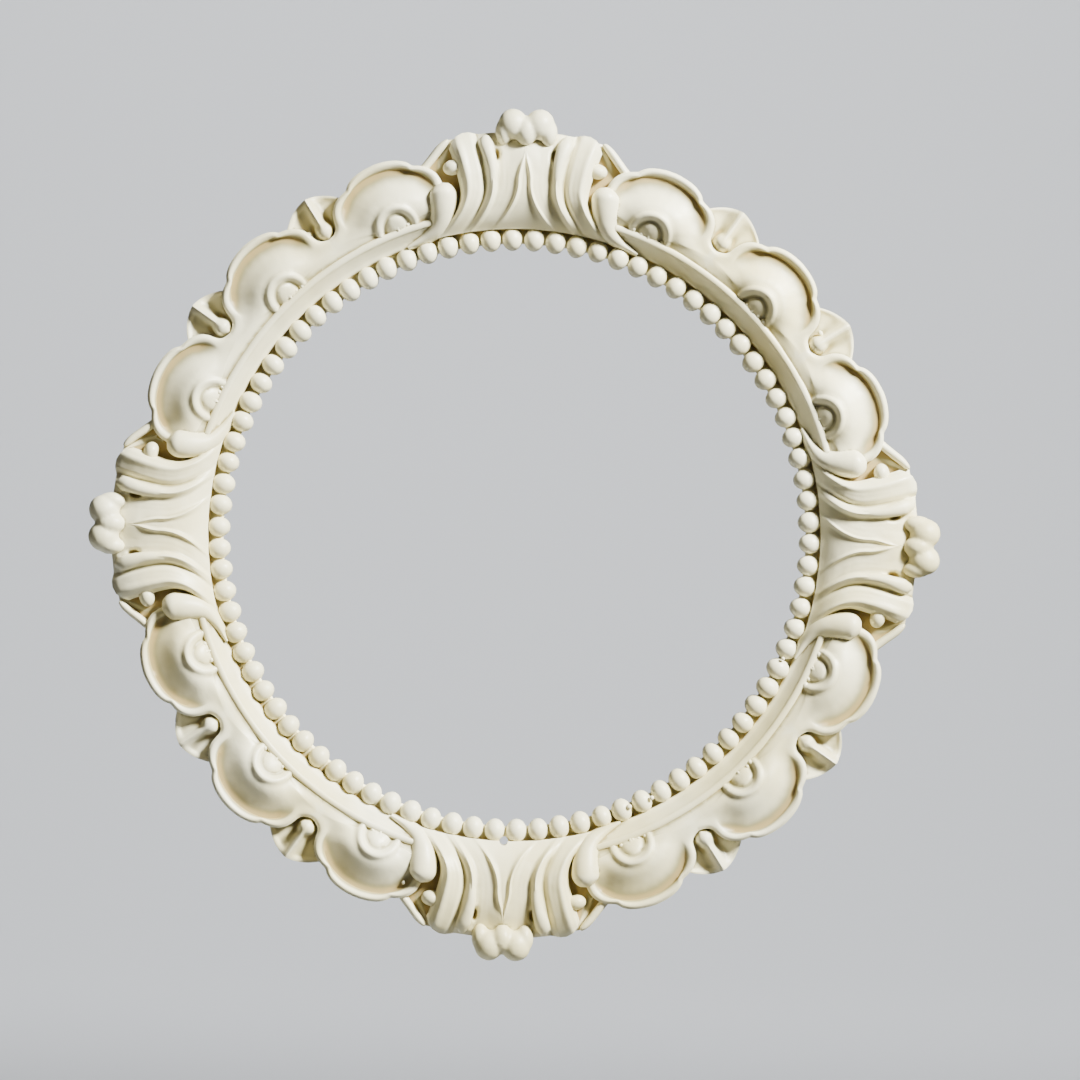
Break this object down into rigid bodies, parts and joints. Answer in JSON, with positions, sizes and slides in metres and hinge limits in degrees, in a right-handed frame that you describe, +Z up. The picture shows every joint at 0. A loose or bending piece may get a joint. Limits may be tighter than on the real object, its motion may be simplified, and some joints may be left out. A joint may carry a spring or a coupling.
{
  "type": "circular moulding frame",
  "caption": "Round cast moulding frame with a beaded opening, hollow band, shell lobes with small leaves between them, and acanthus cartouches on its axes, flat at the back.",
  "frame": {"origin": "centre of the ring, in the plane of the flat back that lies against the wall", "axes": "-Y the way the carving faces, +Y into the wall, +Z up through the middle of the top cartouche"},
  "size_m": [0.229, 0.0118, 0.229],
  "materials": {
    "cream_resin": "satin cast resin"
  },
  "bodies": {
    "root": {"moulding_frame": "cream_resin"}
  },
  "joints": []
}
